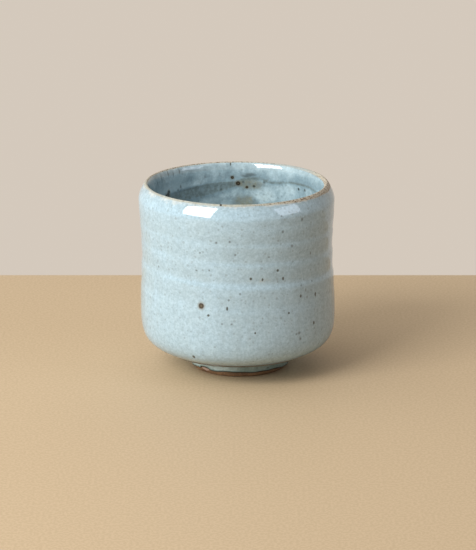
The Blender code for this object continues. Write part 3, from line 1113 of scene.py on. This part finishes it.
inner_face = below(INSIDE, inside_edge - GLAZE_SEAT)
inner_back = inset(below(coarse_inside, inside_edge - GLAZE_SEAT), -GLAZE_THICKNESS)
inner_shell = turned(inner_back + inner_face[::-1])
for vertex in inner_shell.verts:
    if vertex.normal.z > 0 and vertex.co.z < FLOOR_CORNER_HEIGHT:
        vertex.co -= vertex.normal * FLOOR_SPIRAL_DEPTH * floor_spiral(vertex.co)
    stray(vertex.co, INSIDE, inside_edge - GLAZE_SEAT, WANDER_INSIDE)
lay_thinness(inner_shell, inner_thinness_and_painted_light)
for vertex in inner_shell.verts:
    from_ridge = abs(vertex.co.z - (rim_height - RIDGE_DROP)) / RIDGE_TILT_REACH
    tilt = RIDGE_TILT * math.cos(angle_of(vertex.co)) - RIDGE_LOWERED
    vertex.co.z += tilt * eased(1 - from_ridge)
settle_by_hand(inner_shell)
inner_finish = glaze_finish(
    "inner_glaze", LINER_DEEP, LINER_PALE, LINER_THIN, EDGE_BROWN,
    INNER_SPOTS, INNER_MARKS, INSIDE, OLIVE_PATCHES,
)
inner_coat = fired("inner_coat", inner_shell, inner_finish)
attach(inner_coat, "root")
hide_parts("inner_glaze")

# Foot glaze coat
# The glaze that ran under the belly and down the foot, where it stopped in a ragged roll.
# The base below it was wiped clean so that the bowl would not stick to the kiln shelf.
GLAZE_LINE = 0.0020
GLAZE_ROLL = 0.0003
GLAZE_BULGE = 0.00010
NECK_DROP = 0.0008
NECK_FILLET = 0.0020
NECK_POINTS = 8
ROLL_POINTS = 5
LINE_WANDER = 0.00025
# Waves of the glaze line round the foot: share, count and shift
LINE_WAVES = [(0.5, 3, 0), (0.4, 7, 1), (0.3, 17, 2)]
SIDE_SAG = 0.0008
SAG_STARTS = 42
SAG_REACH = 35
BAND_STEPS = 10
# The glaze edge is dark: a thin iron-dark break of the glaze, and in part painted shadow under its roll
FOOT_LINE_BREAK = 0.0005
FOOT_LINE_DARK = 2.1
FOOT_THIN = 0.22
# The foot's glaze is painted paler towards the left front, as painted light where the lamp falls on it: how
# pale, where and how tightly
FOOT_LIT_SIDE = -0.6
FOOT_LIT_TURN = math.radians(-150)
FOOT_LIT_FOCUS = 2
FOOT_ARRIS_BREAK = 0.0006
# Near-black of that edge, partly painted shadow
SCORCH_AND_SHADOW = (0.038, 0.036, 0.030, 1)
# The pale colour of that painted light on the foot
FOOT_LIT_PALE = (0.450, 0.575, 0.590, 1)
FOOT_GREY = (0.205, 0.305, 0.300, 1)
FOOT_SPOTS = [(120.0, 0.0040, 0.0008, 0.0008), (215.0, 0.0038, 0.0014, 0.0010)]
FOOT_MARKS = [(35.0, 0.0035, 0.0014, 0.0008), (290.0, 0.0042, 0.0012, 0.0009)]

band_top = underside_height - NECK_DROP
band_radius = foot_radius + set_back
neck_out = at(band_radius + NECK_FILLET, band_top)
neck_down = at(band_radius, band_top - NECK_FILLET)
neck = at(band_radius, band_top)
neck_curve = rounded(neck_out, neck, neck_down, NECK_POINTS)
line_radius = band_radius - FOOT_TAPER * (1 - GLAZE_LINE / underside_height)
roll_top = at(line_radius, GLAZE_LINE + GLAZE_ROLL)
roll_base = at(line_radius - GLAZE_ROLL, GLAZE_LINE)
roll = rounded(roll_top, at(line_radius, GLAZE_LINE), roll_base, ROLL_POINTS)
band = []
for step in range(1, BAND_STEPS):
    share = step / BAND_STEPS
    bulge = GLAZE_BULGE * math.sin(math.pi * share ** 2)
    band.append(neck_down.lerp(roll_top, share) + OUT * bulge)


def foot_line_rise(angle):
    """How far the glaze line rises: in waves, lower at the sides, and arched over the chip."""
    across = (angle - turn_of(CHIP_DEGREES)) * foot_radius / (CHIP_WIDTH / 2)
    chip = math.sqrt(max(0, 1 - across * across))
    from_front = abs(math.remainder(math.degrees(angle) - FRONT_DEGREES, 360))
    sag = SIDE_SAG * eased((from_front - SAG_STARTS) / SAG_REACH)
    return (LINE_WANDER * edge_waves(angle, LINE_WAVES) - sag) * (1 - chip) + CHIP_RISE * chip


def foot_thinness_and_painted_light(point):
    """The coat under the bowl is bare at the arris, dark along its ragged line where the glaze breaks and,
    in part, as painted shadow under the roll, and painted paler on the left as painted light.
    """
    angle = angle_of(point)
    # milky is the share of the painted light on the left
    milky = eased(FOOT_LIT_FOCUS * math.cos(angle - FOOT_LIT_TURN) - 1)
    on_foot = between(FOOT_THIN, FOOT_LIT_SIDE, milky)
    line_height = GLAZE_LINE + foot_line_rise(angle)
    at_line = FOOT_LINE_DARK - (point.z - line_height) / FOOT_LINE_BREAK
    at_arris = 1 - (ARRIS_RADIUS - point.xy.length) / FOOT_ARRIS_BREAK
    return max(on_foot, at_line, at_arris)


seat_radius = ARRIS_RADIUS - GLAZE_THICKNESS * math.sin(ARRIS_SLOPE) - GLAZE_SEAT
arris_seat = at(seat_radius, arris_height - GLAZE_SEAT)
foot_face = [arris_seat] + neck_curve + band + roll
foot_back = [
    arris_seat + UP * GLAZE_THICKNESS,
    neck + UP * GLAZE_THICKNESS - OUT * GLAZE_THICKNESS,
    roll_base - OUT * (GLAZE_THICKNESS - GLAZE_ROLL),
]
foot_shell = turned(foot_face + foot_back[::-1])
for vertex in foot_shell.verts:
    share = (neck_down.z - vertex.co.z) / (neck_down.z - GLAZE_LINE)
    vertex.co.z += max(0, share) * foot_line_rise(angle_of(vertex.co))
lay_thinness(foot_shell, foot_thinness_and_painted_light)
set_off_centre(foot_shell)
foot_finish = glaze_finish(
    "foot_glaze", FOOT_LIT_PALE, FOOT_GREY, FOOT_GREY, SCORCH_AND_SHADOW, FOOT_SPOTS, FOOT_MARKS, foot_face
)
foot_coat = fired("foot_coat", foot_shell, foot_finish)
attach(foot_coat, "root")
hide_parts("foot_glaze")

# Table
# A pale tan board that ends a hand's breadth behind the bowl.
TABLE_REACH = 3
TABLE_BACK = 0.149
TABLE_THICKNESS = 0.02
TABLE_TAN = (0.520, 0.400, 0.258, 1)
TABLE_SHADE = (0.474, 0.360, 0.227, 1)
TABLE_ROUGHNESS = 0.6
FIBRE_SIZE = 0.0012
FIBRE_STEP = (0.3, 0.7)

table_mesh = bmesh.new()
bmesh.ops.create_cube(table_mesh, size=1)
table_size = Vector((2 * TABLE_REACH, TABLE_REACH + TABLE_BACK, TABLE_THICKNESS))
bmesh.ops.scale(table_mesh, verts=table_mesh.verts, vec=table_size)
table_middle = Vector((0, TABLE_BACK - table_size.y / 2, -TABLE_THICKNESS / 2))
bmesh.ops.translate(table_mesh, verts=table_mesh.verts, vec=table_middle)
table_finish, table_shader, on_table = new_finish("table_board", TABLE_ROUGHNESS)
fibre = on_table.speckle(FIBRE_SIZE).eased(*FIBRE_STEP)
feed(table_shader, "Base Color", fibre.mix(TABLE_SHADE, TABLE_TAN))
table = fired("table", table_mesh, table_finish)

# Light
# A large soft box to the left of the camera, hung a little askew, a weak one far to the right, and a dim
# warm room with pale walls on its left and at the back.
KEY_DEGREES = -51
KEY_RISE = 32.3
KEY_DISTANCE = 1.1
KEY_FACES = Vector((0.20, 0.95, -0.21))
KEY_ROLL = math.radians(-10)
KEY_SIZE = (0.77, 0.57)
KEY_POWER = 14.2
KEY_COLOUR = (1, 0.99, 0.97)
FILL_DEGREES = 66
FILL_RISE = 28
FILL_DISTANCE = 1.1
FILL_SIZE = (0.53, 0.44)
FILL_POWER = 1.95
FILL_COLOUR = (0.74, 0.83, 0.97)
BACKGROUND = (0.66, 0.585, 0.505, 1)
CEILING_LIGHT = (0.280, 0.224, 0.165, 1)
CEILING = (-0.28, 0, 0.96)
LEFT_WALL_LIGHT = (1.7, 1.69, 1.67, 1)
LEFT_WALL = (-0.93, -0.30, 0.20)
LEFT_WALL_EDGE = 0.1
BACK_WALL_LIGHT = (0.82, 0.70, 0.56, 1)
BACK_WALL = (-0.10, 0.94, 0.32)
BACK_WALL_EDGE = 0.2
HORIZON_LIGHT = (0.01, 0.01, 0.01, 1)
BOWL_MIDDLE = Vector((0, 0, 0.042))


def around_bowl(degrees, rise, distance):
    """A place at degrees to the right of the front and a rise above level, seen from the bowl."""
    turn = math.radians(degrees)
    lift = math.radians(rise)
    level = distance * math.cos(lift)
    offset = Vector((level * math.sin(turn), -level * math.cos(turn), distance * math.sin(lift)))
    return BOWL_MIDDLE + offset


def soft_box(name, place, facing, roll, size, power, colour):
    """A rectangular lamp that faces a way, rolled about it."""
    lamp = bpy.data.lights.new(name, "AREA")
    lamp.shape = "RECTANGLE"
    lamp.size, lamp.size_y = size
    lamp.energy = power
    lamp.color = colour
    holder = bpy.data.objects.new(name, lamp)
    holder.location = place
    holder.rotation_euler = (facing.to_track_quat("-Z", "Y") @ Quaternion(UP, roll)).to_euler()
    bpy.context.scene.collection.objects.link(holder)


key_place = around_bowl(KEY_DEGREES, KEY_RISE, KEY_DISTANCE)
soft_box("key_light", key_place, KEY_FACES, KEY_ROLL, KEY_SIZE, KEY_POWER, KEY_COLOUR)
fill_place = around_bowl(FILL_DEGREES, FILL_RISE, FILL_DISTANCE)
soft_box("fill_light", fill_place, BOWL_MIDDLE - fill_place, 0, FILL_SIZE, FILL_POWER, FILL_COLOUR)

world = bpy.data.worlds.new("studio")
bpy.context.scene.world = world
world.use_nodes = True
backdrop = world.node_tree.nodes["Background"]
path = world.node_tree.nodes.new("ShaderNodeLightPath")
seen = Wire(world.node_tree, path.outputs["Is Camera Ray"])
for kind in ("Is Glossy Ray", "Is Transmission Ray"):
    seen = seen.most(Wire(world.node_tree, path.outputs[kind]))
sky = Wire(world.node_tree, world.node_tree.nodes.new("ShaderNodeTexCoord").outputs["Generated"])
room = sky.towards(CEILING).mix(HORIZON_LIGHT, CEILING_LIGHT)
room = sky.towards(BACK_WALL).eased(BACK_WALL_EDGE, 1).mix(room, BACK_WALL_LIGHT)
room = sky.towards(LEFT_WALL).eased(LEFT_WALL_EDGE, 1).mix(room, LEFT_WALL_LIGHT)
feed(backdrop, "Color", seen.mix(room, BACKGROUND))

# Camera
# A long lens at the photograph's height, looking a little down at the bowl.
CAMERA_DISTANCE = 1.2
CAMERA_RISE = 15.55
LENS = 173.57
AIM = Vector((-0.00016, 0, 0.0416))

camera_data = bpy.data.cameras.new("camera")
camera_data.lens = LENS
camera = bpy.data.objects.new("camera", camera_data)
camera.location = around_bowl(0, CAMERA_RISE, CAMERA_DISTANCE)
camera.rotation_euler = (AIM - camera.location).to_track_quat("-Z", "Y").to_euler()
bpy.context.scene.collection.objects.link(camera)
bpy.context.scene.camera = camera
bpy.context.scene.view_settings.view_transform = "Standard"
